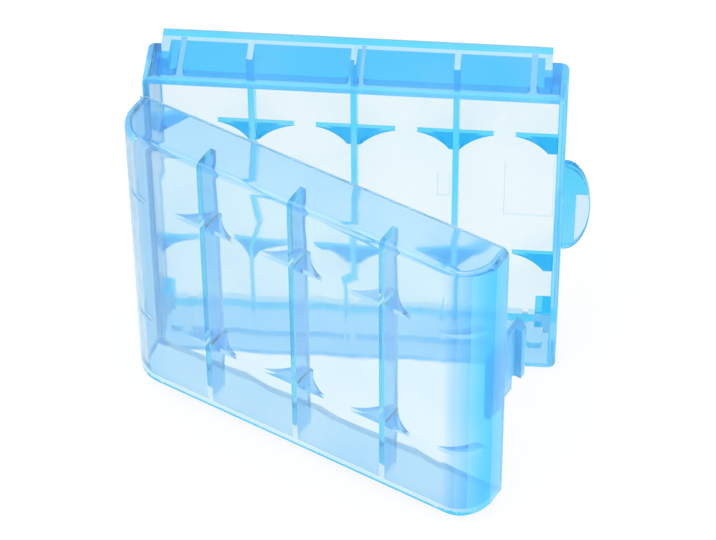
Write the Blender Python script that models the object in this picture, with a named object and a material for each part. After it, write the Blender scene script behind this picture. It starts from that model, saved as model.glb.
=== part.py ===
"""Clamshell storage box for four round cells.

Two moulded halves stand on their long edge and open like a book about a thin web
of plastic along one end. The rear half is a taller tray with notched back
corners, the front half is a tray with round ends. Dividers part the bays and cradles
seat the cells. A snap hook on the front half catches in a window in the rear
half's end wall, which has a thumb tab beside it. +X runs from the hinge to the latch, +Y
from front to back, +Z up. The origin is the centre of the face that the rear half
stands on.
"""

import math

import bmesh
import bpy

# The cells and their bays
CELL_DIAMETER = 0.0145
CELL_LENGTH = 0.0505
CELL_COUNT = 4
BAY_CLEARANCE = 0.0012
HINGE_BAY_CLEARANCE = 0.0002
LATCH_BAY_CLEARANCE = 0.00175
END_CLEARANCE = 0.0038

# Walls of both halves
WALL = 0.0012
FLOOR = 0.0012
DIVIDER = 0.0010
RIM_GAP = 0.0003
FIT_GAP = 0.0003
SEAM_OVERLAP = 0.0005
RIM_ROUND = 0.00045
LEAST_CORNER = 0.0003

# Rear half
MOUTH_DEPTH = 0.0084
MOUTH_GAP = 0.00165
BACK_DEPTH = 0.0043
HINGE_NOTCH = 0.0022
LATCH_NOTCH = 0.00275
NOTCH_HEIGHT = 0.0046
REAR_CORNER = 0.0014
BACK_EDGE_ROUND = 0.0010
REAR_FLOOR_FILLET = 0.0005
REAR_DIVIDER_HEIGHT = 0.0038

# Front half
FRONT_DEPTH = 0.0093
FRONT_CORNER = 0.0014
FRONT_END_ROUND = 0.0063
FRONT_EDGE_ROUND = 0.0015
FRONT_INNER_EDGE_ROUND = 0.0004
FRONT_DIVIDER_HEIGHT = 0.0038

# Cradles that seat the cells
CRADLE_LAND = 0.0001
REAR_CRADLE_DIP = 0.00011
FRONT_CRADLE_DIP = 0.0004
CRADLE_THICKNESS = 0.0010
CRADLE_OFFSET = 0.0136
REAR_CRADLE_DROP = 0.0014

# Guide pads on the long walls of the rear half
PAD_THICKNESS = 0.0013
PAD_SETBACK = 0.0034
PAD_END_MARGIN = 0.0061
PAD_MIDDLE_GAP = 0.0023
PAD_CORNER = 0.0006
END_PAD_MARGIN = 0.00245
END_PAD_WIDTH = 0.00265

# Hinge
WEB_RADIUS = 0.0002
WEB_FROM_END = 0.00015
WEB_END_MARGIN = 0.0012
OPEN_ANGLE = math.radians(26.8)

# Snap hook and its window
HOOK_THICKNESS = 0.0010
HOOK_HEIGHT = 0.0137
HOOK_ROOT_DEPTH = 0.0028
HOOK_REACH = 0.0076
HOOK_BARB_SETBACK = 0.0002
HOOK_BARB_LENGTH = 0.0024
HOOK_BARB_LAND = 0.0012
HOOK_LOWER_HEIGHT = 0.0027
HOOK_LOWER_SETBACK = 0.0004
LATCH_DROP = 0.00175
WINDOW_MARGIN = 0.0005

# Thumb tab
TAB_REACH = 0.0042
TAB_SETBACK = 0.0082
TAB_HEIGHT = 0.0195
TAB_THICKNESS = 0.0013
TAB_RIDGE_WIDTH = 0.0018
TAB_RIDGE_RISE = 0.0006
TAB_RIDGE_SETBACK = 0.0001
TAB_RIDGE_HEIGHT = 0.0165
TAB_RISE = 0.0005

# Shallow recesses in the rear floor, where the mould has inserts
RECESS_DEPTH = 0.0003
LATCH_RECESS_WIDTH = 0.0083
LATCH_RECESS_MARGIN = 0.0005
SMALL_RECESS_WIDTH = 0.0022
SMALL_RECESS_HEIGHT = 0.0055
SMALL_RECESS_MARGIN = 0.0005
SMALL_RECESS_RISE = 0.0004

# Facets of round shapes
CORNER_STEPS = 4
ROUND_STEPS = 3
END_STEPS = 6
CRADLE_STEPS = 10
WEB_SIDES = 12
TAB_STEPS = 14

# Sizes that follow
BAYS = [CELL_DIAMETER + HINGE_BAY_CLEARANCE]
BAYS += [CELL_DIAMETER + BAY_CLEARANCE] * (CELL_COUNT - 2)
BAYS += [CELL_DIAMETER + LATCH_BAY_CLEARANCE]
WIDTH = sum(BAYS) + (CELL_COUNT - 1) * DIVIDER + 2 * WALL
FRONT_HEIGHT = CELL_LENGTH + END_CLEARANCE + 2 * WALL
REAR_HEIGHT = FRONT_HEIGHT + 2 * (MOUTH_GAP + WALL)
REAR_DEPTH = MOUTH_DEPTH + BACK_DEPTH
LEFT = -WIDTH / 2
RIGHT = WIDTH / 2
RIM_Y = -MOUTH_DEPTH / 2
MIDDLE_Z = REAR_HEIGHT / 2
LATCH_Z = MIDDLE_Z - LATCH_DROP
BAY_STARTS = [LEFT + WALL + sum(BAYS[:i]) + i * DIVIDER for i in range(CELL_COUNT)]
BAY_CENTRES = [start + bay / 2 for start, bay in zip(BAY_STARTS, BAYS)]
SEAT_CENTRES = BAY_CENTRES[:-1] + [BAY_STARTS[-1] + BAYS[0] / 2]
DIVIDER_CENTRES = [start - DIVIDER / 2 for start in BAY_STARTS[1:]]
HINGE_X = LEFT - WEB_FROM_END
HINGE_Y = RIM_Y - RIM_GAP / 2

# Plastic of the case, tinted blue
CASE_COLOUR = (0.21, 0.58, 0.93, 1.0)
CASE_ROUGHNESS = 0.22
CASE_ALPHA = 0.55
CASE_INDEX = 1.49


def clear_scene():
    for item in list(bpy.data.objects):
        bpy.data.objects.remove(item, do_unlink=True)


def plastic(name):
    material = bpy.data.materials.new(name)
    material.use_nodes = True
    shader = material.node_tree.nodes["Principled BSDF"]
    shader.inputs["Base Color"].default_value = CASE_COLOUR
    shader.inputs["Roughness"].default_value = CASE_ROUGHNESS
    shader.inputs["Metallic"].default_value = 0.0
    shader.inputs["IOR"].default_value = CASE_INDEX
    shader.inputs["Alpha"].default_value = CASE_ALPHA
    material.diffuse_color = CASE_COLOUR
    return material


def add_object(name, work):
    """Turn a bmesh into a closed, outward-facing object."""
    bmesh.ops.recalc_face_normals(work, faces=work.faces)
    mesh = bpy.data.meshes.new(name)
    work.to_mesh(mesh)
    work.free()
    item = bpy.data.objects.new(name, mesh)
    bpy.context.scene.collection.objects.link(item)
    return item


def combine(body, tool, operation):
    """Add a tool to a body, or cut it away, and drop the tool."""
    join = body.modifiers.new("join", "BOOLEAN")
    join.operation = operation
    join.object = tool
    depsgraph = bpy.context.evaluated_depsgraph_get()
    shape = bpy.data.meshes.new_from_object(body.evaluated_get(depsgraph))
    body.modifiers.remove(join)
    body.data = shape
    bpy.data.objects.remove(tool, do_unlink=True)


def finish(item, material):
    """Give a piece its plastic and smooth its round faces."""
    item.data.materials.clear()
    item.data.materials.append(material)
    item.data.shade_smooth()
    item.data.set_sharp_from_angle(angle=math.radians(35))
    return item


def arc(centre, radius, start, end, steps):
    """Points along an arc in a plane, angles in radians."""
    points = []
    for i in range(steps + 1):
        angle = start + (end - start) * i / steps
        points.append((centre[0] + radius * math.cos(angle), centre[1] + radius * math.sin(angle)))
    return points


def rounded_rectangle(half_width, half_height, corner):
    points = []
    for quarter in range(4):
        start = quarter * math.pi / 2
        middle = start + math.pi / 4
        side_x = math.copysign(half_width - corner, math.cos(middle))
        side_z = math.copysign(half_height - corner, math.sin(middle))
        points += arc((side_x, side_z), corner, start, start + math.pi / 2, CORNER_STEPS)
    return points


def round_over(depth, half_width, half_height, corner, radius):
    """Rings that turn an edge over, from the side of a tray to its flat face."""
    rings = []
    for i in range(ROUND_STEPS + 1):
        angle = i / ROUND_STEPS * math.pi / 2
        inset = radius * (1 - math.cos(angle))
        along = depth - radius + radius * math.sin(angle)
        rings.append((along, half_width - inset, half_height - inset, max(corner - inset, LEAST_CORNER)))
    return rings


def rim_rings(half_width, half_height, corner):
    """Rings that round the outer edge of a rim, from the rim into the side."""
    rings = []
    for depth, *sizes in round_over(0, half_width, half_height, corner, RIM_ROUND):
        rings.append((-depth, *sizes))
    return list(reversed(rings))


def bridge(work, loops):
    """Skin a row of loops and close both ends."""
    work.faces.new(loops[0])
    work.faces.new(loops[-1])
    for loop, following in zip(loops[:-1], loops[1:]):
        for i in range(len(loop)):
            j = (i + 1) % len(loop)
            work.faces.new((loop[i], loop[j], following[j], following[i]))


def tray(name, outside, inside, centre, direction):
    """A tray from rings given as depth, half width, half height and corner.

    The outside rings run from the rim to the closed face, and so do the inside
    ones. The centre is the middle of the rim, and the tray's depth runs along Y.
    """
    work = bmesh.new()
    rings = []
    for depth, half_width, half_height, corner in list(reversed(outside)) + inside:
        ring = []
        for x, z in rounded_rectangle(half_width, half_height, corner):
            ring.append(work.verts.new((centre[0] + x, centre[1] + direction * depth, centre[2] + z)))
        rings.append(ring)
    bridge(work, rings)
    return add_object(name, work)


def plate(name, outline, low, high, axis="Z"):
    """An outline in a plane, pulled straight between two levels of the third axis."""
    work = bmesh.new()
    ends = []
    for level in (low, high):
        ring = []
        for a, b in outline:
            place = (a, b, level) if axis == "Z" else (a, level, b)
            ring.append(work.verts.new(place))
        ends.append(ring)
        work.faces.new(ring)
    for i in range(len(outline)):
        j = (i + 1) % len(outline)
        work.faces.new((ends[0][i], ends[0][j], ends[1][j], ends[1][i]))
    return add_object(name, work)


def block(name, x_range, y_range, z_range):
    outline = [(x_range[0], y_range[0]), (x_range[1], y_range[0])]
    outline += [(x_range[1], y_range[1]), (x_range[0], y_range[1])]
    return plate(name, outline, z_range[0], z_range[1])


def cradle_outline(floor_y, towards, divider_height, dip, reach_x, shift):
    """Outline of one cradle row: arcs in every bay, flat where they meet a divider.

    Heights rise from the floor along the given direction of Y. The row reaches as
    far as given to both sides of the middle, and its back edge lies in the floor.
    """
    back_y = floor_y - towards * SEAM_OVERLAP
    top = []
    reach = BAYS[0] / 2 - CRADLE_LAND
    rise = divider_height + dip
    radius = (reach ** 2 + rise ** 2) / (2 * rise)
    for bay_centre in SEAT_CENTRES:
        for i in range(CRADLE_STEPS + 1):
            x = -reach + 2 * reach * i / CRADLE_STEPS
            height = radius - dip - math.sqrt(radius ** 2 - x ** 2)
            if abs(bay_centre + x) < reach_x:
                top.append((bay_centre + x + shift, floor_y + towards * height))
    outline = [(shift - reach_x, top[0][1])] + top + [(shift + reach_x, top[-1][1])]
    return outline + [(shift + reach_x, back_y), (shift - reach_x, back_y)]


def rear_rings():
    """Outside and inside rings of the rear half."""
    half_width = WIDTH / 2
    half_height = REAR_HEIGHT / 2
    outside = rim_rings(half_width, half_height, REAR_CORNER)
    outside += round_over(REAR_DEPTH, half_width, half_height, REAR_CORNER, BACK_EDGE_ROUND)
    corner = max(REAR_CORNER - WALL, LEAST_CORNER)
    inside = [(0, half_width - WALL, half_height - WALL, corner)]
    floor_depth = REAR_DEPTH - FLOOR
    inside += round_over(floor_depth, half_width - WALL, half_height - WALL, corner, REAR_FLOOR_FILLET)
    return outside, inside


def notch_corners(shell):
    """Step the four back corners in, with a wall of even thickness behind each step."""
    step_y = RIM_Y + MOUTH_DEPTH
    beyond = SEAM_OVERLAP * 2
    for low_end in (True, False):
        for x, direction, notch in ((LEFT, 1, HINGE_NOTCH), (RIGHT, -1, LATCH_NOTCH)):
            edge_z = 0 if low_end else REAR_HEIGHT
            towards = 1 if low_end else -1
            inner_z = edge_z + towards * (NOTCH_HEIGHT + WALL)
            wall_z = edge_z + towards * (WALL - SEAM_OVERLAP)
            x_range = sorted((x + direction * (WALL - SEAM_OVERLAP), x + direction * (notch + WALL)))
            y_range = (step_y - WALL, step_y + BACK_DEPTH - FLOOR + SEAM_OVERLAP)
            combine(shell, block("corner", x_range, y_range, sorted((wall_z, inner_z))), "UNION")
    for low_end in (True, False):
        for x, direction, notch in ((LEFT, 1, HINGE_NOTCH), (RIGHT, -1, LATCH_NOTCH)):
            edge_z = 0 if low_end else REAR_HEIGHT
            towards = 1 if low_end else -1
            x_range = sorted((x - direction * beyond, x + direction * notch))
            z_range = sorted((edge_z - towards * beyond, edge_z + towards * NOTCH_HEIGHT))
            cut = block("notch", x_range, (step_y, step_y + BACK_DEPTH + beyond), z_range)
            combine(shell, cut, "DIFFERENCE")


def add_rear_dividers(shell, floor_y):
    low = WALL - SEAM_OVERLAP
    high = REAR_HEIGHT - low
    for i, x in enumerate(DIVIDER_CENTRES):
        y_range = (floor_y - REAR_DIVIDER_HEIGHT, floor_y + SEAM_OVERLAP)
        rib = block("rib", (x - DIVIDER / 2, x + DIVIDER / 2), y_range, (low, high))
        combine(shell, rib, "UNION")


def add_rear_cradles(shell, floor_y):
    inner = WIDTH / 2 - WALL + SEAM_OVERLAP
    outline = cradle_outline(floor_y, -1, REAR_DIVIDER_HEIGHT, REAR_CRADLE_DIP, inner, 0)
    for side in (-1, 1):
        middle = MIDDLE_Z - REAR_CRADLE_DROP + side * CRADLE_OFFSET
        low = middle - CRADLE_THICKNESS / 2
        combine(shell, plate("cradle", outline, low, low + CRADLE_THICKNESS), "UNION")


def add_guide_pads(shell):
    """Raised pads inside the long walls, and the web between them."""
    near = RIM_Y + PAD_SETBACK
    far = RIM_Y + REAR_DEPTH - FLOOR + SEAM_OVERLAP
    spans = []
    for side in (-1, 1):
        inner = side * PAD_MIDDLE_GAP / 2
        outer = side * (WIDTH / 2 - PAD_END_MARGIN)
        spans.append((min(inner, outer), max(inner, outer), PAD_CORNER))
        inner = side * (WIDTH / 2 - END_PAD_MARGIN - END_PAD_WIDTH)
        outer = side * (WIDTH / 2 - END_PAD_MARGIN)
        spans.append((min(inner, outer), max(inner, outer), END_PAD_WIDTH / 2 - PAD_CORNER))
    spans.append((-DIVIDER / 2, DIVIDER / 2, PAD_CORNER / 2))
    for low_x, high_x, corner in spans:
        outline = arc((low_x + corner, near + corner), corner, math.pi, math.pi * 3 / 2, ROUND_STEPS)
        outline += arc((high_x - corner, near + corner), corner, -math.pi / 2, 0, ROUND_STEPS)
        outline += [(high_x, far), (low_x, far)]
        inner_z = WALL + PAD_THICKNESS
        combine(shell, plate("pad", outline, WALL - SEAM_OVERLAP, inner_z), "UNION")
        top = REAR_HEIGHT - inner_z
        combine(shell, plate("pad", outline, top, REAR_HEIGHT - WALL + SEAM_OVERLAP), "UNION")


def catch_range():
    """Lowest and highest place of the hook's barb."""
    low = LATCH_Z - HOOK_HEIGHT / 2
    return low + HOOK_LOWER_HEIGHT, low + HOOK_HEIGHT


def cut_catch_window(shell):
    """Window through the latch end's wall, which the barb of the closed hook snaps into."""
    low, high = catch_range()
    tip = RIM_Y - RIM_GAP + HOOK_REACH
    x_range = (RIGHT - WALL - SEAM_OVERLAP, RIGHT + SEAM_OVERLAP)
    y_range = (tip - HOOK_BARB_LENGTH - FIT_GAP, tip + FIT_GAP)
    window = block("window", x_range, y_range, (low - WINDOW_MARGIN, high + WINDOW_MARGIN))
    combine(shell, window, "DIFFERENCE")


def cut_recesses(shell, floor_y):
    depth = (floor_y - SEAM_OVERLAP, floor_y + RECESS_DEPTH)
    low, high = catch_range()
    high_x = RIGHT - WALL - LATCH_RECESS_MARGIN
    z_range = (low - WINDOW_MARGIN, high + WINDOW_MARGIN)
    spot = block("recess", (high_x - LATCH_RECESS_WIDTH, high_x), depth, z_range)
    combine(shell, spot, "DIFFERENCE")
    high_x = DIVIDER_CENTRES[-1] - DIVIDER / 2 - SMALL_RECESS_MARGIN
    half = SMALL_RECESS_HEIGHT / 2
    middle = (low + high) / 2 + SMALL_RECESS_RISE
    spot = block("recess", (high_x - SMALL_RECESS_WIDTH, high_x), depth, (middle - half, middle + half))
    combine(shell, spot, "DIFFERENCE")


def rear_shell(material):
    outside, inside = rear_rings()
    shell = tray("rear_shell", outside, inside, (0, RIM_Y, MIDDLE_Z), 1)
    floor_y = RIM_Y + REAR_DEPTH - FLOOR
    add_rear_dividers(shell, floor_y)
    add_rear_cradles(shell, floor_y)
    add_guide_pads(shell)
    notch_corners(shell)
    cut_catch_window(shell)
    cut_recesses(shell, floor_y)
    return finish(shell, material)


def front_profile(width, height, depth, end_round, edge_round, corner):
    """Rings from rim to face, with large round ends and smaller round long edges."""
    depths = set()
    for i in range(END_STEPS + 1):
        depths.add(depth - end_round + end_round * math.sin(i / END_STEPS * math.pi / 2))
    for i in range(ROUND_STEPS + 1):
        depths.add(depth - edge_round + edge_round * math.sin(i / ROUND_STEPS * math.pi / 2))
    rings = []
    for along in sorted(depths):
        past_end = max(0, along - depth + end_round)
        past_edge = max(0, along - depth + edge_round)
        end_inset = end_round - math.sqrt(max(0, end_round ** 2 - past_end ** 2))
        edge_inset = edge_round - math.sqrt(max(0, edge_round ** 2 - past_edge ** 2))
        rings.append((along, width / 2 - end_inset, height / 2 - edge_inset, corner))
    return rings


def front_rings():
    """Outside and inside rings of the front half."""
    half_width = WIDTH / 2
    half_height = FRONT_HEIGHT / 2
    outside = rim_rings(half_width, half_height, FRONT_CORNER)
    rounds = (FRONT_END_ROUND, FRONT_EDGE_ROUND)
    outside += front_profile(WIDTH, FRONT_HEIGHT, FRONT_DEPTH, *rounds, FRONT_CORNER)
    corner = max(FRONT_CORNER - WALL, LEAST_CORNER)
    width = WIDTH - 2 * WALL
    height = FRONT_HEIGHT - 2 * WALL
    inner_round = max(FRONT_END_ROUND - WALL, LEAST_CORNER)
    inside = [(0, width / 2, height / 2, corner)]
    depth = FRONT_DEPTH - FLOOR
    inside += front_profile(width, height, depth, inner_round, FRONT_INNER_EDGE_ROUND, corner)
    return outside, inside


def front_plug(shift, rim):
    """Solid that fills the front half's inside and half of its walls."""
    width = WIDTH - WALL
    height = FRONT_HEIGHT - WALL
    depth = FRONT_DEPTH - FLOOR / 2
    end_round = FRONT_END_ROUND - WALL / 2
    edge_round = FRONT_EDGE_ROUND - WALL / 2
    rings = front_profile(width, height, depth, end_round, edge_round, FRONT_CORNER - WALL / 2)
    work = bmesh.new()
    loops = []
    for along, half_width, half_height, corner in [(0, *rings[0][1:])] + rings:
        loop = []
        for x, z in rounded_rectangle(half_width, half_height, corner):
            loop.append(work.verts.new((shift + x, rim - along, MIDDLE_Z + z)))
        loops.append(loop)
    bridge(work, loops)
    return add_object("plug", work)


def front_shell(material, pivot):
    """Made in the hinge's own frame, closed, with the web's axis as its origin."""
    shift = -HINGE_X
    rim = RIM_Y - RIM_GAP - HINGE_Y
    outside, inside = front_rings()
    shell = tray("front_shell", outside, inside, (shift, rim, MIDDLE_Z), -1)
    floor_y = rim - FRONT_DEPTH + FLOOR
    for x in DIVIDER_CENTRES:
        x_range = (x + shift - DIVIDER / 2, x + shift + DIVIDER / 2)
        y_range = (floor_y - FLOOR, floor_y + FRONT_DIVIDER_HEIGHT)
        rib = block("rib", x_range, y_range, (MIDDLE_Z - FRONT_HEIGHT, MIDDLE_Z + FRONT_HEIGHT))
        combine(rib, front_plug(shift, rim), "INTERSECT")
        combine(shell, rib, "UNION")
    outline = cradle_outline(floor_y, 1, FRONT_DIVIDER_HEIGHT, FRONT_CRADLE_DIP, WIDTH / 2, shift)
    for side in (-1, 1):
        low = MIDDLE_Z + side * CRADLE_OFFSET - CRADLE_THICKNESS / 2
        cradle = plate("cradle", outline, low, low + CRADLE_THICKNESS)
        combine(cradle, front_plug(shift, rim), "INTERSECT")
        combine(shell, cradle, "UNION")
    shell.parent = pivot
    return finish(shell, material)


def snap_hook(material, pivot):
    """Flat arm with a barb, flexing about its root in the front half."""
    outer_x = RIGHT - WALL - FIT_GAP
    root_y = RIM_Y - RIM_GAP - HOOK_ROOT_DEPTH
    tip = HOOK_ROOT_DEPTH + HOOK_REACH
    catch = tip - HOOK_BARB_LENGTH
    barb = WALL + FIT_GAP - HOOK_BARB_SETBACK
    outline = [(-HOOK_THICKNESS, 0), (0, 0), (0, catch), (barb, catch)]
    outline += [(barb, catch + HOOK_BARB_LAND), (0, tip), (-HOOK_THICKNESS, tip)]
    low, high = catch_range()
    arm = plate("snap_hook", outline, low, high)
    stem_tip = catch - HOOK_LOWER_SETBACK
    stem = [(-HOOK_THICKNESS, 0), (0, 0), (0, stem_tip), (-HOOK_THICKNESS, stem_tip)]
    combine(arm, plate("stem", stem, low - HOOK_LOWER_HEIGHT, low + SEAM_OVERLAP), "UNION")
    root = bpy.data.objects.new("hook_flex", None)
    bpy.context.scene.collection.objects.link(root)
    root.parent = pivot
    root.location = (outer_x - HINGE_X, root_y - HINGE_Y, 0)
    arm.parent = root
    return finish(arm, material)


def hinge_web(material):
    """Thin web along the outer corner of both rims, which bends when the box opens."""
    low = MIDDLE_Z - FRONT_HEIGHT / 2 + WEB_END_MARGIN
    high = MIDDLE_Z + FRONT_HEIGHT / 2 - WEB_END_MARGIN
    section = arc((0, 0), WEB_RADIUS, 0, 2 * math.pi, WEB_SIDES)[:-1]
    web = plate("hinge_web", section, low, high)
    web.location = (HINGE_X, HINGE_Y, 0)
    return finish(web, material)


def thumb_tab(material):
    """Half-round tab beside the latch, flexing about its root on the rear half."""
    outline = []
    for i in range(TAB_STEPS + 1):
        angle = -math.pi / 2 + math.pi * i / TAB_STEPS
        outline.append((TAB_REACH * math.cos(angle), TAB_HEIGHT / 2 * math.sin(angle)))
    tab = plate("thumb_tab", outline, -TAB_THICKNESS, 0, "Y")
    ridge_x = (TAB_RIDGE_SETBACK, TAB_RIDGE_SETBACK + TAB_RIDGE_WIDTH)
    ridge_y_range = (-TAB_THICKNESS - TAB_RIDGE_RISE, -TAB_THICKNESS + SEAM_OVERLAP)
    ridge = block("ridge", ridge_x, ridge_y_range, (-TAB_RIDGE_HEIGHT / 2, TAB_RIDGE_HEIGHT / 2))
    combine(tab, ridge, "UNION")
    tab.location = (RIGHT + FIT_GAP, RIM_Y + TAB_SETBACK, MIDDLE_Z + TAB_RISE)
    return finish(tab, material)


def main():
    clear_scene()
    pivot = bpy.data.objects.new("front_hinge", None)
    bpy.context.scene.collection.objects.link(pivot)
    pivot.location = (HINGE_X, HINGE_Y, 0)
    pivot.rotation_euler = (0, 0, -OPEN_ANGLE)
    rear_shell(plastic("rear_plastic"))
    front_shell(plastic("front_plastic"), pivot)
    snap_hook(plastic("hook_plastic"), pivot)
    hinge_web(plastic("web_plastic"))
    thumb_tab(plastic("tab_plastic"))


main()
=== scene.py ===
"""Looks for the clamshell cell box: clear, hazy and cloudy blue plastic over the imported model."""
import math

import bmesh
import bpy
from mathutils import Matrix, Vector


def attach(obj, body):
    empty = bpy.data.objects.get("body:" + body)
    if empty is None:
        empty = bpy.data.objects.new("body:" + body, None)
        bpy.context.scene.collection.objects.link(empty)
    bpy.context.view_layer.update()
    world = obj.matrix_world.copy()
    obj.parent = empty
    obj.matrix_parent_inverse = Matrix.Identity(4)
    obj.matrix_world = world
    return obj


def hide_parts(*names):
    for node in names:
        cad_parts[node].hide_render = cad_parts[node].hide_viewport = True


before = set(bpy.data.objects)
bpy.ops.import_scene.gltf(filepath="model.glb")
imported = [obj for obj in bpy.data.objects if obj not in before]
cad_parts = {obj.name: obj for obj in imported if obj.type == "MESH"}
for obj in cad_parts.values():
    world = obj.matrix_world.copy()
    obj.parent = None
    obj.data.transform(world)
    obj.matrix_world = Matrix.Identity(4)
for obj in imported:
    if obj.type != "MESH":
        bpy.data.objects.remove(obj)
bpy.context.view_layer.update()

MM = 0.001

# ---- sizes of the two halves, as in the solids: x along the row of cells, y to the back, z up
WALL = 1.2 * MM
FLOOR = 1.2 * MM
DIVIDER = 1.0 * MM
DIVIDER_HEIGHT = 3.8 * MM
BAYS = [14.7 * MM, 15.7 * MM, 15.7 * MM, 16.25 * MM]
WIDTH = sum(BAYS) + 3 * DIVIDER + 2 * WALL
FRONT_HEIGHT = 56.7 * MM
REAR_HEIGHT = 62.4 * MM
MOUTH_DEPTH = 8.4 * MM
BACK_DEPTH = 4.3 * MM
REAR_DEPTH = MOUTH_DEPTH + BACK_DEPTH
FRONT_DEPTH = 9.3 * MM
LEFT = -WIDTH / 2
RIGHT = WIDTH / 2
RIM_Y = -MOUTH_DEPTH / 2
BACK_Y = RIM_Y + REAR_DEPTH
MIDDLE_Z = REAR_HEIGHT / 2
STARTS = [LEFT + WALL + sum(BAYS[:i]) + i * DIVIDER for i in range(len(BAYS))]
BAY_CENTRES = [start + bay / 2 for start, bay in zip(STARTS, BAYS)]
SEAT_CENTRES = BAY_CENTRES[:-1] + [STARTS[-1] + BAYS[0] / 2]
DIVIDER_CENTRES = [start - DIVIDER / 2 for start in STARTS[1:]]

# Rounds and corners; the front half's are its end round, edge round and corner
CORNER = 1.4 * MM
INNER_CORNER = 0.3 * MM
RIM_ROUND = 0.45 * MM
BACK_ROUND = 1.0 * MM
BACK_BAND = 2.4 * MM
REAR_FILLET = 0.5 * MM
SOFT_EDGE = 0.15 * MM
FRONT_OUTSIDE = (6.3 * MM, 1.5 * MM, CORNER)
FRONT_PLUG = (5.7 * MM, 0.9 * MM, 0.8 * MM)
FRONT_INSIDE = (5.1 * MM, 0.4 * MM, INNER_CORNER)

# Cradles that the cells lie in: the arcs dip a little under the floor
CRADLE = 1.0 * MM
CRADLE_OFFSET = 13.6 * MM
CRADLE_LAND = 0.1 * MM
REAR_CRADLE_DROP = 1.4 * MM
REAR_DIP, FRONT_DIP = 0.11 * MM, 0.4 * MM

# Steps in the back corners, and the posts behind them
LEFT_NOTCH, RIGHT_NOTCH = 2.2 * MM, 2.75 * MM
NOTCH_HEIGHT = 4.6 * MM
NOTCH_REACH = 6 * MM
POST_HEIGHT = 5.8 * MM

# Guide pads on the top and bottom walls: from, to, and the round at the rim's side
PAD_SETBACK = 3.4 * MM
PAD_THICK = 1.3 * MM
MIDDLE_PAD = (-0.5 * MM, 0.5 * MM, 0.3 * MM)
SIDE_PADS = [(1.15 * MM, WIDTH / 2 - 6.1 * MM, 0.7 * MM),
             (WIDTH / 2 - 5.1 * MM, WIDTH / 2 - 2.45 * MM, 0.75 * MM)]

# Hook, and the window that it snaps into
RIM_GAP = 0.3 * MM
HOOK_GAP = 0.3 * MM
HOOK_REACH = 7.6 * MM
HOOK_ROOT = 2.8 * MM
HOOK_THICK = 1.0 * MM
BARB_LENGTH = 2.4 * MM
BARB_HEIGHT = 1.3 * MM
BARB_FLAT = 1.2 * MM
STEM_DROP = 2.7 * MM
STEM_GAP = 0.4 * MM
CATCH_LOW, CATCH_HIGH = 25.3 * MM, 36.3 * MM
WINDOW_GAP = 0.5 * MM
WINDOW_SKIN = 0.02 * MM

# Shallow recesses in the rear floor
RECESS_DEPTH, RECESS_SLOPE = 0.3 * MM, 0.2 * MM
RECESS_MARGIN = 0.5 * MM
LARGE_RECESS = 8.3 * MM
SMALL_RECESS, SMALL_RECESS_HALF, SMALL_RECESS_RISE = 2.2 * MM, 2.75 * MM, 0.4 * MM

# Thumb tab and the ridge on it, measured from the tab's own middle at the wall
TAB_HALF = 9.75 * MM
TAB_BASE = 0.3 * MM
TAB_REACH = 4.2 * MM
TAB_THICK = 1.3 * MM
TAB_EDGE = 0.2 * MM
TAB_MIDDLE = Vector((RIGHT, RIM_Y + 8.2 * MM, MIDDLE_Z + 0.5 * MM))
RIDGE_LOW, RIDGE_STEP, RIDGE_HIGH = -8.2 * MM, 3.6 * MM, 9.6 * MM
RIDGE_WIDTH = 2.1 * MM
RIDGE_INSET = 0.15 * MM
RIDGE_NEAR, RIDGE_FAR = -1.9 * MM, -0.7 * MM

HINGE_OFFSET = 0.15 * MM
HINGE = Vector((LEFT - HINGE_OFFSET, RIM_Y - HINGE_OFFSET, 0))
OPEN = math.radians(26.8)
SINK = 0.55 * MM  # how far a rib or a tab is sunk into the wall that it stands on
OVERRUN = MM  # how far a cut runs past the wall
SHARP_ANGLE = math.radians(32)
BEVEL_ANGLE = math.radians(50)
BEVEL_SEGMENTS = 2
CORNER_STEPS, ROUND_STEPS, RIM_STEPS, PAD_STEPS = 7, 5, 4, 5
END_STEPS, EDGE_STEPS, CRADLE_STEPS, TAB_STEPS = 30, 6, 24, 32


# ---- shapes
def arc(centre, radius, start, end, steps):
    angles = [start + (end - start) * i / steps for i in range(steps + 1)]
    return [(centre[0] + radius * math.cos(angle), centre[1] + radius * math.sin(angle))
            for angle in angles]


def rounded_rectangle(half_width, half_height, corner):
    points = []
    for quarter in range(4):
        start = quarter * math.pi / 2
        side_x = math.copysign(half_width - corner, math.cos(start + math.pi / 4))
        side_z = math.copysign(half_height - corner, math.sin(start + math.pi / 4))
        points += arc((side_x, side_z), corner, start, start + math.pi / 2, CORNER_STEPS)
    return points


def round_over(depth, half_width, half_height, corner, radius, steps=ROUND_STEPS):
    """Rings that turn a side over into a face at this depth: depth, half sizes, corner."""
    rings = []
    for i in range(steps + 1):
        angle = i / steps * math.pi / 2
        inset = radius * (1 - math.cos(angle))
        along = depth - radius + radius * math.sin(angle)
        ring_corner = max(corner - inset, INNER_CORNER)
        rings.append((along, half_width - inset, half_height - inset, ring_corner))
    return rings


def rim_rings(half_width, half_height):
    """Rings that round the outer edge of a rim, from its face down to the side."""
    rings = round_over(0, half_width, half_height, CORNER, RIM_ROUND, RIM_STEPS)
    return [(-depth, *ring) for depth, *ring in reversed(rings)]


def mesh_object(name, work):
    bmesh.ops.recalc_face_normals(work, faces=work.faces)
    mesh = bpy.data.meshes.new(name)
    work.to_mesh(mesh)
    work.free()
    item = bpy.data.objects.new(name, mesh)
    bpy.context.scene.collection.objects.link(item)
    return item


def bridge(work, loops):
    """Close the first and last loop, and join each loop to the next."""
    work.faces.new(loops[0])
    work.faces.new(loops[-1])
    for loop, following in zip(loops[:-1], loops[1:]):
        for i in range(len(loop)):
            j = (i + 1) % len(loop)
            work.faces.new((loop[i], loop[j], following[j], following[i]))


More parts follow.
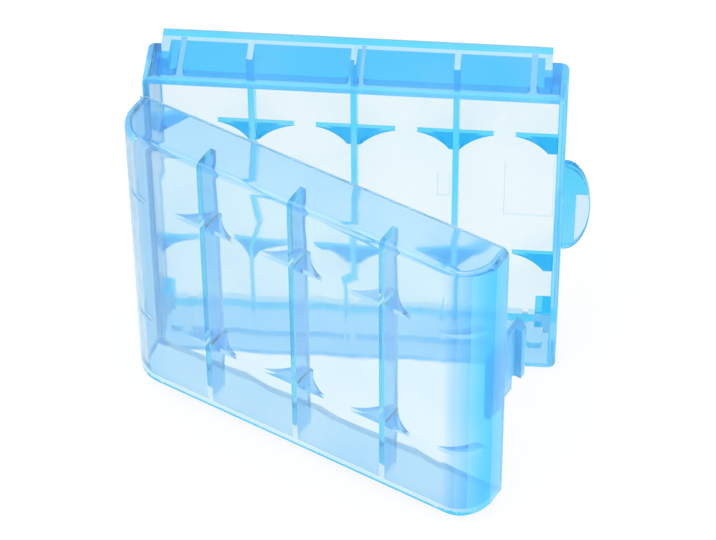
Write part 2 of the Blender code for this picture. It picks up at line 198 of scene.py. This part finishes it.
def tray(name, rings, centre, direction):
    """Piece through rings, each a depth, two half sizes and a corner, closed at both ends."""
    work = bmesh.new()
    loops = []
    for depth, half_width, half_height, corner in rings:
        y = centre[1] + direction * depth
        loops.append([work.verts.new((centre[0] + x, y, centre[2] + z))
                      for x, z in rounded_rectangle(half_width, half_height, corner)])
    bridge(work, loops)
    return mesh_object(name, work)


def plate(name, outline, low, high, axis="Z"):
    """Flat piece: its outline, drawn from one level to the other along an axis."""
    work = bmesh.new()
    loops = []
    for level in (low, high):
        loops.append([work.verts.new((a, b, level) if axis == "Z" else (a, level, b))
                      for a, b in outline])
    bridge(work, loops)
    return mesh_object(name, work)


def block(name, x_range, y_range, z_range):
    (low_x, high_x), (low_y, high_y) = x_range, y_range
    outline = [(low_x, low_y), (high_x, low_y), (high_x, high_y), (low_x, high_y)]
    return plate(name, outline, *z_range)


def apply_modifiers(item):
    graph = bpy.context.evaluated_depsgraph_get()
    shape = bpy.data.meshes.new_from_object(item.evaluated_get(graph))
    item.modifiers.clear()
    item.data = shape


def soften(item, width):
    bevel = item.modifiers.new("soften", "BEVEL")
    bevel.width = width
    bevel.segments = BEVEL_SEGMENTS
    bevel.limit_method = "ANGLE"
    bevel.angle_limit = BEVEL_ANGLE
    apply_modifiers(item)
    return item


def combine(body, tool, operation):
    join = body.modifiers.new("join", "BOOLEAN")
    join.operation = operation
    join.object = tool
    apply_modifiers(body)
    bpy.data.objects.remove(tool, do_unlink=True)


def cradle_outline(floor_y, towards, dip, reach_x, shift):
    """One row of cradles, with an arc for each cell, up to this reach from the middle."""
    back_y = floor_y - towards * SINK
    top = []
    reach = BAYS[0] / 2 - CRADLE_LAND
    rise = DIVIDER_HEIGHT + dip
    radius = (reach ** 2 + rise ** 2) / (2 * rise)
    for seat in SEAT_CENTRES:
        for i in range(CRADLE_STEPS + 1):
            x = -reach + 2 * reach * i / CRADLE_STEPS
            height = radius - dip - math.sqrt(radius ** 2 - x ** 2)
            if abs(seat + x) < reach_x:
                top.append((seat + x + shift, floor_y + towards * height))
    outline = [(shift - reach_x, top[0][1])] + top + [(shift + reach_x, top[-1][1])]
    return outline + [(shift + reach_x, back_y), (shift - reach_x, back_y)]


# ---- rear half
def notch_corners(shell):
    """Step the four back corners in, with a wall behind each step."""
    step_y = RIM_Y + MOUTH_DEPTH
    spots = []
    for edge_z, towards in ((0, 1), (REAR_HEIGHT, -1)):
        for x, inward, notch in ((LEFT, 1, LEFT_NOTCH), (RIGHT, -1, RIGHT_NOTCH)):
            spots.append((edge_z, towards, x, inward, notch))
    for edge_z, towards, x, inward, notch in spots:
        x_range = sorted((x + inward * (WALL - SINK), x + inward * (notch + WALL)))
        y_range = (step_y - WALL, step_y + BACK_DEPTH - FLOOR + SINK)
        z_range = sorted((edge_z + towards * (WALL - SINK), edge_z + towards * POST_HEIGHT))
        combine(shell, block("post", x_range, y_range, z_range), "UNION")
    for edge_z, towards, x, inward, notch in spots:
        x_range = sorted((x - inward * OVERRUN, x + inward * notch))
        y_range = (step_y, step_y + NOTCH_REACH)
        z_range = sorted((edge_z - towards * OVERRUN, edge_z + towards * NOTCH_HEIGHT))
        combine(shell, block("notch", x_range, y_range, z_range), "DIFFERENCE")


def add_pads(shell, floor_y):
    """Guide pads along the inside of the bottom and top walls."""
    near = RIM_Y + PAD_SETBACK
    spans = [MIDDLE_PAD]
    for side in (-1, 1):
        for inner, outer, corner in SIDE_PADS:
            spans.append((*sorted((side * inner, side * outer)), corner))
    for low_x, high_x, corner in spans:
        left, right = low_x + corner, high_x - corner
        pad = arc((left, near + corner), corner, math.pi, math.pi * 1.5, PAD_STEPS)
        pad += arc((right, near + corner), corner, -math.pi / 2, 0, PAD_STEPS)
        pad += [(high_x, floor_y + SINK), (low_x, floor_y + SINK)]
        for base in (WALL - SINK, REAR_HEIGHT - WALL - PAD_THICK):
            combine(shell, plate("pad", pad, base, base + PAD_THICK + SINK), "UNION")


def recess(x_range, z_range, floor_y):
    """Shallow spot in the floor with sloped sides."""
    work = bmesh.new()
    loops = []
    levels = ((floor_y - SINK, 0), (floor_y, 0), (floor_y + RECESS_DEPTH, RECESS_SLOPE))
    for level, inset in levels:
        low_x, high_x = x_range[0] + inset, x_range[1] - inset
        low_z, high_z = z_range[0] + inset, z_range[1] - inset
        corners = ((low_x, low_z), (high_x, low_z), (high_x, high_z), (low_x, high_z))
        loops.append([work.verts.new((x, level, z)) for x, z in corners])
    bridge(work, loops)
    return mesh_object("recess", work)


def build_tab():
    """Half-round tab beside the latch, drawn in one piece with the wall."""
    outline = [(-SINK, -TAB_HALF), (-SINK, TAB_HALF)]
    for i in range(TAB_STEPS + 1):
        angle = math.pi / 2 - math.pi * i / TAB_STEPS
        outline.append((TAB_BASE + TAB_REACH * math.cos(angle), TAB_HALF * math.sin(angle)))
    tab = plate("tab", outline, -TAB_THICK, 0, "Y")
    soften(tab, TAB_EDGE)
    ridge = [(-SINK, RIDGE_LOW), (RIDGE_WIDTH, RIDGE_LOW), (RIDGE_WIDTH, RIDGE_STEP)]
    ridge += [(a - RIDGE_INSET, b - RIDGE_INSET)
              for a, b in reversed(outline[2:]) if b > RIDGE_STEP]
    ridge.append((-SINK, RIDGE_HIGH))
    ridge = soften(plate("ridge", ridge, RIDGE_NEAR, RIDGE_FAR, "Y"), SOFT_EDGE)
    combine(tab, ridge, "UNION")
    tab.data.transform(Matrix.Translation(TAB_MIDDLE))
    return tab


def cut_window(shell, catch_z):
    tip = RIM_Y - RIM_GAP + HOOK_REACH
    x_range = (RIGHT - WALL - OVERRUN, RIGHT + WINDOW_SKIN)
    y_range = (tip - BARB_LENGTH - RIM_GAP, tip + RIM_GAP)
    combine(shell, block("window", x_range, y_range, catch_z), "DIFFERENCE")


def cut_recesses(shell, catch_z, floor_y):
    high_x = RIGHT - WALL - RECESS_MARGIN
    combine(shell, recess((high_x - LARGE_RECESS, high_x), catch_z, floor_y), "DIFFERENCE")
    high_x = DIVIDER_CENTRES[-1] - DIVIDER / 2 - RECESS_MARGIN
    centre_z = (CATCH_LOW + CATCH_HIGH) / 2 + SMALL_RECESS_RISE
    small_z = (centre_z - SMALL_RECESS_HALF, centre_z + SMALL_RECESS_HALF)
    combine(shell, recess((high_x - SMALL_RECESS, high_x), small_z, floor_y), "DIFFERENCE")


def build_rear():
    half_width, half_height = WIDTH / 2, REAR_HEIGHT / 2
    rings = rim_rings(half_width, half_height)
    rings.append((REAR_DEPTH - BACK_BAND, half_width, half_height, CORNER))
    rings += round_over(REAR_DEPTH, half_width, half_height, CORNER, BACK_ROUND)
    inner = (half_width - WALL, half_height - WALL, INNER_CORNER)
    inside = [(0, *inner)] + round_over(REAR_DEPTH - FLOOR, *inner, REAR_FILLET)
    shell = tray("rear_case", list(reversed(rings)) + inside, (0, RIM_Y, MIDDLE_Z), 1)
    floor_y = RIM_Y + REAR_DEPTH - FLOOR
    low = WALL - SINK
    for x in DIVIDER_CENTRES:
        y_range = (floor_y - DIVIDER_HEIGHT, floor_y + SINK)
        rib = block("rib", (x - DIVIDER / 2, x + DIVIDER / 2), y_range, (low, REAR_HEIGHT - low))
        combine(shell, soften(rib, SOFT_EDGE), "UNION")
    outline = cradle_outline(floor_y, -1, REAR_DIP, WIDTH / 2 - WALL + SINK, 0)
    for side in (-1, 1):
        base = MIDDLE_Z - REAR_CRADLE_DROP + side * CRADLE_OFFSET - CRADLE / 2
        combine(shell, plate("cradle", outline, base, base + CRADLE), "UNION")
    add_pads(shell, floor_y)
    notch_corners(shell)
    combine(shell, build_tab(), "UNION")
    catch_z = (CATCH_LOW - WINDOW_GAP, CATCH_HIGH + WINDOW_GAP)
    cut_window(shell, catch_z)
    cut_recesses(shell, catch_z, floor_y)
    return shell


# ---- front half and hook, drawn closed in the hinge's own frame
def front_profile(inset, end_round, edge_round, corner):
    """Rings of the front half at this inset, with large rounds at its two ends."""
    half_width, half_height = (WIDTH - 2 * inset) / 2, (FRONT_HEIGHT - 2 * inset) / 2
    depth = FRONT_DEPTH - inset
    depths = set()
    for radius, steps in ((end_round, END_STEPS), (edge_round, EDGE_STEPS)):
        for i in range(steps + 1):
            along = depth - radius + radius * math.sin(i / steps * math.pi / 2)
            depths.add(round(along, 9))
    rings = []
    for along in sorted(depths):
        past_end = max(0, along - depth + end_round)
        past_edge = max(0, along - depth + edge_round)
        end_inset = end_round - math.sqrt(max(0, end_round ** 2 - past_end ** 2))
        edge_inset = edge_round - math.sqrt(max(0, edge_round ** 2 - past_edge ** 2))
        rings.append((along, half_width - end_inset, half_height - edge_inset, corner))
    return rings


def front_plug(shift, rim):
    """Solid up to the middle of the wall, which trims what stands inside the front half."""
    rings = front_profile(WALL / 2, *FRONT_PLUG)
    return tray("plug", [(0, *rings[0][1:])] + rings, (shift, rim, MIDDLE_Z), -1)


def build_front():
    shift = -HINGE.x
    rim = RIM_Y - RIM_GAP - HINGE.y
    rings = rim_rings(WIDTH / 2, FRONT_HEIGHT / 2) + front_profile(0, *FRONT_OUTSIDE)
    inside = [(0, WIDTH / 2 - WALL, FRONT_HEIGHT / 2 - WALL, INNER_CORNER)]
    inside += front_profile(WALL, *FRONT_INSIDE)
    shell = tray("front_case", list(reversed(rings)) + inside, (shift, rim, MIDDLE_Z), -1)
    floor_y = rim - FRONT_DEPTH + FLOOR
    for x in DIVIDER_CENTRES:
        x_range = (x + shift - DIVIDER / 2, x + shift + DIVIDER / 2)
        y_range = (floor_y - FLOOR, floor_y + DIVIDER_HEIGHT)
        rib = block("rib", x_range, y_range, (MIDDLE_Z - FRONT_HEIGHT, MIDDLE_Z + FRONT_HEIGHT))
        combine(rib, front_plug(shift, rim), "INTERSECT")
        combine(shell, rib, "UNION")
    outline = cradle_outline(floor_y, 1, FRONT_DIP, WIDTH / 2, shift)
    for side in (-1, 1):
        base = MIDDLE_Z + side * CRADLE_OFFSET - CRADLE / 2
        cradle = plate("cradle", outline, base, base + CRADLE)
        combine(cradle, front_plug(shift, rim), "INTERSECT")
        combine(shell, cradle, "UNION")
    return shell


def build_hook():
    outer_x = RIGHT - WALL - HOOK_GAP - HINGE.x
    root_y = RIM_Y - RIM_GAP - HOOK_ROOT - HINGE.y
    tip = HOOK_ROOT + HOOK_REACH
    catch = tip - BARB_LENGTH
    outline = [(-HOOK_THICK, 0), (0, 0), (0, catch), (BARB_HEIGHT, catch),
               (BARB_HEIGHT, catch + BARB_FLAT), (0, tip), (-HOOK_THICK, tip)]
    arm = plate("hook_arm", outline, CATCH_LOW, CATCH_HIGH)
    stem = [(-HOOK_THICK, 0), (0, 0), (0, catch - STEM_GAP), (-HOOK_THICK, catch - STEM_GAP)]
    combine(arm, plate("stem", stem, CATCH_LOW - STEM_DROP, CATCH_LOW + SINK), "UNION")
    soften(arm, SOFT_EDGE)
    arm.data.transform(Matrix.Translation((outer_x, root_y, 0)))
    return arm


def open_up(item):
    """From the hinge's own frame, closed, to the place at rest."""
    item.data.transform(Matrix.Translation(HINGE) @ Matrix.Rotation(-OPEN, 4, "Z"))


def shade(item):
    item.data.shade_smooth()
    item.data.set_sharp_from_angle(angle=SHARP_ANGLE)


# ---- plastics
PALE = (0.86, 0.965, 0.995, 1)
DEEP = (0.018, 0.545, 0.98, 1)
NOISES = {"flow": (60, 3), "haze": (260, 4), "grain": (1500, 3)}  # scale and detail
WAVES = (("haze", 0.25, 0.06 * MM), ("grain", 0.12, 0.02 * MM))  # strength and distance
NOISE_RANGE = (0.3, 0.7)
TINT_DRIFT = (-0.05, 0.05)
ROUGHNESS_RANGE = (0.04, 0.12)
PLASTIC_IOR = 1.15  # low, so that the thin walls stay clear at every slant
COAT_IOR = 1.49
COAT_ROUGHNESS = 0.05

# Each finish: its name, milk and gloss, in the order of the slots
CLEAR, CLOUDY, HAZY = range(3)
FINISHES = (("clear_plastic", 0.06, 0.5), ("cloudy_plastic", 0.5, 0.15),
            ("hazy_plastic", 0.22, 0.3))
WEB_FINISH = ("web_plastic", 0.5, 0.15, 0.8)


def map_range(nodes, links, value, start, end):
    spread = nodes.new("ShaderNodeMapRange")
    spread.inputs["From Min"].default_value, spread.inputs["From Max"].default_value = start
    spread.inputs["To Min"].default_value, spread.inputs["To Max"].default_value = end
    links.new(value, spread.inputs["Value"])
    return spread.outputs["Result"]


def math_node(nodes, links, operation, first, second):
    node = nodes.new("ShaderNodeMath")
    node.operation = operation
    links.new(first, node.inputs[0])
    if isinstance(second, (int, float)):
        node.inputs[1].default_value = second
    else:
        links.new(second, node.inputs[1])
    return node


def moulded_surface():
    """Group that turns a depth of tint into colour, roughness and a fine wave in the surface."""
    group = bpy.data.node_groups.new("moulded_surface", "ShaderNodeTree")
    group.interface.new_socket("Tint", in_out="INPUT", socket_type="NodeSocketFloat")
    group.interface.new_socket("Color", in_out="OUTPUT", socket_type="NodeSocketColor")
    group.interface.new_socket("Roughness", in_out="OUTPUT", socket_type="NodeSocketFloat")
    group.interface.new_socket("Normal", in_out="OUTPUT", socket_type="NodeSocketVector")
    nodes, links = group.nodes, group.links
    source, target = nodes.new("NodeGroupInput"), nodes.new("NodeGroupOutput")
    place = nodes.new("ShaderNodeTexCoord")
    noises = {}
    for name, (scale, detail) in NOISES.items():
        noise = nodes.new("ShaderNodeTexNoise")
        noise.inputs["Scale"].default_value = scale
        noise.inputs["Detail"].default_value = detail
        links.new(place.outputs["Object"], noise.inputs["Vector"])
        noises[name] = noise.outputs["Fac"]
    drift = map_range(nodes, links, noises["flow"], NOISE_RANGE, TINT_DRIFT)
    total = math_node(nodes, links, "ADD", source.outputs["Tint"], drift)
    total.use_clamp = True
    ramp = nodes.new("ShaderNodeValToRGB")
    ramp.color_ramp.elements[0].color = PALE
    ramp.color_ramp.elements[1].color = DEEP
    links.new(total.outputs[0], ramp.inputs["Fac"])
    links.new(ramp.outputs["Color"], target.inputs["Color"])
    roughness = map_range(nodes, links, noises["haze"], NOISE_RANGE, ROUGHNESS_RANGE)
    links.new(roughness, target.inputs["Roughness"])
    normal = None
    for name, strength, distance in WAVES:
        bump = nodes.new("ShaderNodeBump")
        bump.inputs["Strength"].default_value = strength
        bump.inputs["Distance"].default_value = distance
        links.new(noises[name], bump.inputs["Height"])
        if normal:
            links.new(normal, bump.inputs["Normal"])
        normal = bump.outputs["Normal"]
    links.new(normal, target.inputs["Normal"])
    return group


SURFACE = moulded_surface()


def plastic(name, milk, gloss, depth=None):
    """Tinted plastic: milk is its cloudy share, depth its tint where no face carries one."""
    material = bpy.data.materials.new(name)
    material.use_nodes = True
    nodes, links = material.node_tree.nodes, material.node_tree.links
    shader = nodes["Principled BSDF"]
    shader.inputs["IOR"].default_value = PLASTIC_IOR
    shader.inputs["Transmission Weight"].default_value = 1 - milk
    shader.inputs["Coat Weight"].default_value = gloss
    shader.inputs["Coat Roughness"].default_value = COAT_ROUGHNESS
    shader.inputs["Coat IOR"].default_value = COAT_IOR
    surface = nodes.new("ShaderNodeGroup")
    surface.node_tree = SURFACE
    if depth is None:
        tint = nodes.new("ShaderNodeAttribute")
        tint.attribute_name = "tint"
        links.new(tint.outputs["Fac"], surface.inputs["Tint"])
    else:
        surface.inputs["Tint"].default_value = depth
    links.new(surface.outputs["Color"], shader.inputs["Base Color"])
    links.new(surface.outputs["Roughness"], shader.inputs["Roughness"])
    links.new(surface.outputs["Normal"], shader.inputs["Normal"])
    return material


def paint(item, tint, finish):
    """Write how deep the tint is and which plastic it is, face by face."""
    faces = item.data.polygons
    layer = item.data.attributes.new("tint", "FLOAT", "FACE")
    layer.data.foreach_set("value", [tint(face.center, face.normal) for face in faces])
    for face in faces:
        face.material_index = finish(face.center, face.normal)


# ---- how deep the tint is, from 0 to 1, and where each finish lies
DEEPEST = 1.0
TAB_TINT = 0.25
REAR_FLOOR_TINT, RECESS_TINT = 0.0, 0.25
REAR_CLOUDY_TINT = 0.82
REAR_END_INSIDE_TINT, REAR_END_TINT = 0.4, 0.3
PAD_FRONT_TINT = 0.25
REAR_BOTTOM_TINT = 0.45
REAR_WALL_TINT = 0.65
FRONT_RIM_TINT = 0.45
HINGE_CORNER_TINT, HINGE_END_TINT = 0.75, 0.35
LATCH_END_TINT = 0.8
FACE_TINT, FACE_TURN = 0.13, 0.7
LATCH_ROUND_TINT, HINGE_ROUND_TINT = 0.8, 0.25
FRONT_RIB_TINT = 0.62
FRONT_WALL_TINT, FRONT_EDGE_TINT, FRONT_STEP_TINT = 0.35, 0.5, 0.7
HOOK_TINT = 0.7

SLACK = 0.1 * MM
RIDGE_SPAN_X, RIDGE_SPAN_Z = 2.2 * MM, 4.1 * MM
REAR_RIM, FRONT_RIM = 0.5 * MM, 0.6 * MM
REAR_END = 1.5 * MM
OUTER_EDGE = 1.0 * MM
BOTTOM = 3 * MM
PAD_FRONTS, RIBS_FROM = 4 * MM, 5 * MM
ROUND_END = 6.5 * MM
HINGE_CORNER, HINGE_WALL = 5 * MM, 3 * MM
HINGE_CORNER_EDGE, LOWER_EDGE = 1.5 * MM, 1.6 * MM
RIB_EDGES = 3 * MM
FACE_BAND = 0.5 * MM
EDGE_BAND = 2 * MM

# Shares of a face's normal along an axis
FLAT, FACING, UPRIGHT = 0.97, 0.8, 0.3
END_ON, LYING = 0.99, 0.9
STEEP, HALF_STEEP = 0.65, 0.35
CORNER_TURN = 0.2
EDGE_TURN, EDGE_TURN_END = 0.05, 0.98


def is_round(normal):
    """Edges and fillets, which run deeper in tint than flat faces."""
    return max(abs(normal.x), abs(normal.y), abs(normal.z)) < FLAT


def rear_tint(point, normal):
    """Deepest on ribs, pads and edges, palest on the floor."""
    end = abs(point.x) > RIGHT - REAR_END
    if point.x > RIGHT + SLACK:
        ridge = point.x < RIGHT + RIDGE_SPAN_X or point.z > MIDDLE_Z + RIDGE_SPAN_Z
        return DEEPEST if ridge or is_round(normal) else TAB_TINT
    on_floor = point.y > BACK_Y - FLOOR - SLACK and abs(point.x) < RIGHT - WALL
    if on_floor and abs(normal.z) < LYING:
        return RECESS_TINT if is_round(normal) else REAR_FLOOR_TINT
    if end and abs(point.x) < RIGHT - WALL + SLACK and abs(normal.x) > FACING:
        return REAR_END_INSIDE_TINT
    if rear_finish(point, normal) == CLOUDY:
        return REAR_CLOUDY_TINT
    if is_round(normal) or point.y > BACK_Y - BACK_BAND:
        return DEEPEST
    if abs(normal.y) > FACING and point.y < RIM_Y + PAD_FRONTS:
        return PAD_FRONT_TINT
    if point.z < BOTTOM and normal.z > FACING:
        return REAR_BOTTOM_TINT
    if end:
        return REAR_END_TINT
    between_walls = WALL + MM < point.z < REAR_HEIGHT - WALL - MM
    if between_walls and point.y > RIM_Y + RIBS_FROM:
        return DEEPEST
    return REAR_WALL_TINT


def rear_finish(point, normal):
    """Cloudy on the rim, the end walls, the bottom's front-facing faces and the outer corners."""
    if abs(point.x) > RIGHT + SLACK:
        return CLEAR
    rim = point.y < RIM_Y + REAR_RIM
    end_wall = abs(point.x) > RIGHT - REAR_END and abs(normal.x) > FACING
    bottom = point.z < BOTTOM and normal.y < -FACING
    outside = abs(point.x) > RIGHT - OUTER_EDGE or point.z > REAR_HEIGHT - OUTER_EDGE
    cloudy = rim or end_wall or bottom or (outside and is_round(normal))
    return CLOUDY if cloudy else CLEAR


def front_tint(point, normal):
    """Deepest on the latch's round end, the ribs and the edges, palest on the flat face."""
    upright = abs(normal.z) < UPRIGHT
    if point.y > -FRONT_RIM:
        return FRONT_RIM_TINT
    if is_lower_edge(point, normal):
        return DEEPEST
    if front_finish(point, normal) == CLOUDY and point.x < WIDTH / 2:
        return HINGE_CORNER_TINT
    if normal.x > END_ON and point.x > WIDTH - MM:
        return LATCH_END_TINT
    if upright and normal.y > FACING and point.y > -FRONT_DEPTH + FLOOR + RIB_EDGES:
        return DEEPEST
    if upright and (point.x > WIDTH - ROUND_END or point.y < -FRONT_DEPTH + FLOOR + FACE_BAND):
        round_tint = LATCH_ROUND_TINT if point.x > WIDTH / 2 else HINGE_ROUND_TINT
        return FACE_TINT + round_tint * abs(normal.x) ** FACE_TURN
    if point.x < ROUND_END:
        return HINGE_END_TINT
    if abs(point.z - MIDDLE_Z) < FRONT_HEIGHT / 2 - EDGE_BAND:
        return FRONT_RIB_TINT
    if abs(normal.z) > FLAT:
        return FRONT_WALL_TINT
    if abs(normal.z) > EDGE_TURN and point.y < -FRONT_DEPTH + EDGE_BAND:
        return FRONT_EDGE_TINT
    return FRONT_STEP_TINT


def front_finish(point, normal):
    """Cloudy on the latch's round end, the rim, the lower edge and the hinge's outer corners.

    The latch end's turn and the hinge end's wall are hazy.
    """
    upright = abs(normal.z) < UPRIGHT
    if point.x > WIDTH - ROUND_END and normal.x > HALF_STEEP and upright:
        return CLOUDY if normal.x > STEEP else HAZY
    if point.y > -FRONT_RIM or is_lower_edge(point, normal):
        return CLOUDY
    at_edge = abs(point.z - MIDDLE_Z) > FRONT_HEIGHT / 2 - HINGE_CORNER_EDGE
    if point.x < HINGE_CORNER and at_edge and is_round(normal):
        return CLOUDY if abs(normal.x) > CORNER_TURN else CLEAR
    return HAZY if point.x < HINGE_WALL and upright else CLEAR


def is_lower_edge(point, normal):
    """The turn between the front half's face and its bottom."""
    low = point.z < MIDDLE_Z - FRONT_HEIGHT / 2 + LOWER_EDGE
    sloped = -EDGE_TURN_END < normal.z < -EDGE_TURN
    return low and sloped and point.y < -FRONT_DEPTH + EDGE_BAND


def hook_tint(point, normal):
    return HOOK_TINT


def hook_finish(point, normal):
    return CLOUDY


rear = build_rear()
front = build_front()
hook = build_hook()
plastics = [plastic(*finish) for finish in FINISHES]
for item, tint, finish, body, nodes in (
        (rear, rear_tint, rear_finish, "rear", ("rear_shell", "thumb_tab")),
        (front, front_tint, front_finish, "front", ("front_shell",)),
        (hook, hook_tint, hook_finish, "hook", ("snap_hook",))):
    shade(item)
    item.data.materials.clear()
    for material in plastics:
        item.data.materials.append(material)
    paint(item, tint, finish)
    if body != "rear":
        open_up(item)
    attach(item, body)
    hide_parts(*nodes)
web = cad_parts["hinge_web"]
web.data.materials.clear()
web.data.materials.append(plastic(*WEB_FINISH))

# ---- camera, at the photograph's viewing angle
PHOTO_WIDTH, FOCAL_LENGTH = 716, 3600  # in pixels
SENSOR = 36
ELEVATION, ROLL, YAW = math.radians(45.502), math.radians(-0.488), math.radians(4.966)
DISTANCE = 598.977 * MM
OFFSET = Vector((-0.428 * MM, 0, -21.403 * MM))
NEAREST, FARTHEST = 0.01, 10
camera_data = bpy.data.cameras.new("camera")
camera = bpy.data.objects.new("camera", camera_data)
bpy.context.scene.collection.objects.link(camera)
bpy.context.scene.camera = camera
camera_data.sensor_width = SENSOR
camera_data.lens = FOCAL_LENGTH / PHOTO_WIDTH * SENSOR
camera_data.clip_start = NEAREST
camera_data.clip_end = FARTHEST


def turned(vector):
    """Turn a vector by the camera's yaw, about the upright axis."""
    c, s = math.cos(YAW), math.sin(YAW)
    return Vector((vector.x * c - vector.y * s, vector.x * s + vector.y * c, vector.z))


place = Vector((0, -DISTANCE * math.cos(ELEVATION), DISTANCE * math.sin(ELEVATION))) - OFFSET
ahead = Vector((0, math.cos(ELEVATION), -math.sin(ELEVATION)))
side = Vector((1, 0, 0))
up = Vector((0, math.sin(ELEVATION), math.cos(ELEVATION)))
right = math.cos(ROLL) * side + math.sin(ROLL) * up
top = -math.sin(ROLL) * side + math.cos(ROLL) * up
place, ahead, right, top = (turned(vector) for vector in (place, ahead, right, top))
camera.matrix_world = Matrix.Translation(place + Vector((0, RIM_Y, 0))) @ Matrix((
    (right.x, top.x, -ahead.x, 0), (right.y, top.y, -ahead.y, 0),
    (right.z, top.z, -ahead.z, 0), (0, 0, 0, 1)))

# ---- studio
WHITE = (1, 1, 1, 1)
STUDIO_LIGHT = (0.9, 1.0)  # the world's strength on the object, and where it is seen
GROUND_COLOUR = (0.9, 0.9, 0.9, 1)
GROUND_ROUGHNESS = 0.9
GROUND_GLOW = 0.85
GROUND_HALF, GROUND_LOW, GROUND_HIGH = 3, -0.01, -0.0002
LAMPS = (("key", (-0.5, -0.5, 0.9), 0.7, 6), ("fill", (0.7, -0.3, 0.6), 0.7, 3))
LAMP_AIM = Vector((0, 0, 0.03))


def white_seen(nodes, links, strength):
    """White for what the camera sees straight (at a strength), mirrored or through the plastic."""
    path = nodes.new("ShaderNodeLightPath")
    straight = math_node(nodes, links, "MULTIPLY", path.outputs["Is Camera Ray"], strength)
    mirrored = math_node(nodes, links, "MAXIMUM", straight.outputs[0],
                         path.outputs["Is Glossy Ray"])
    through = math_node(nodes, links, "MAXIMUM", mirrored.outputs[0],
                        path.outputs["Is Transmission Ray"])
    return through.outputs[0]


world = bpy.data.worlds.new("studio")
bpy.context.scene.world = world
world.use_nodes = True
nodes, links = world.node_tree.nodes, world.node_tree.links
background = nodes["Background"]
background.inputs["Color"].default_value = WHITE
strength = map_range(nodes, links, white_seen(nodes, links, 1), (0, 1), STUDIO_LIGHT)
links.new(strength, background.inputs["Strength"])

corners = [(-GROUND_HALF, -GROUND_HALF), (GROUND_HALF, -GROUND_HALF),
           (GROUND_HALF, GROUND_HALF), (-GROUND_HALF, GROUND_HALF)]
ground = plate("ground", corners, GROUND_LOW, GROUND_HIGH)
material = bpy.data.materials.new("ground_paper")
material.use_nodes = True
nodes, links = material.node_tree.nodes, material.node_tree.links
shader = nodes["Principled BSDF"]
shader.inputs["Base Color"].default_value = GROUND_COLOUR
shader.inputs["Roughness"].default_value = GROUND_ROUGHNESS
glow = nodes.new("ShaderNodeEmission")
mix = nodes.new("ShaderNodeMixShader")
links.new(white_seen(nodes, links, GROUND_GLOW), mix.inputs["Fac"])
links.new(shader.outputs["BSDF"], mix.inputs[1])
links.new(glow.outputs["Emission"], mix.inputs[2])
links.new(mix.outputs["Shader"], nodes["Material Output"].inputs["Surface"])
ground.data.materials.append(material)

for name, spot, size, power in LAMPS:
    light = bpy.data.lights.new(name, "AREA")
    light.size = size
    light.energy = power
    lamp = bpy.data.objects.new(name, light)
    bpy.context.scene.collection.objects.link(lamp)
    lamp.location = spot
    lamp.rotation_euler = (LAMP_AIM - Vector(spot)).to_track_quat("-Z", "Y").to_euler()

bpy.context.scene.view_settings.view_transform = "Standard"
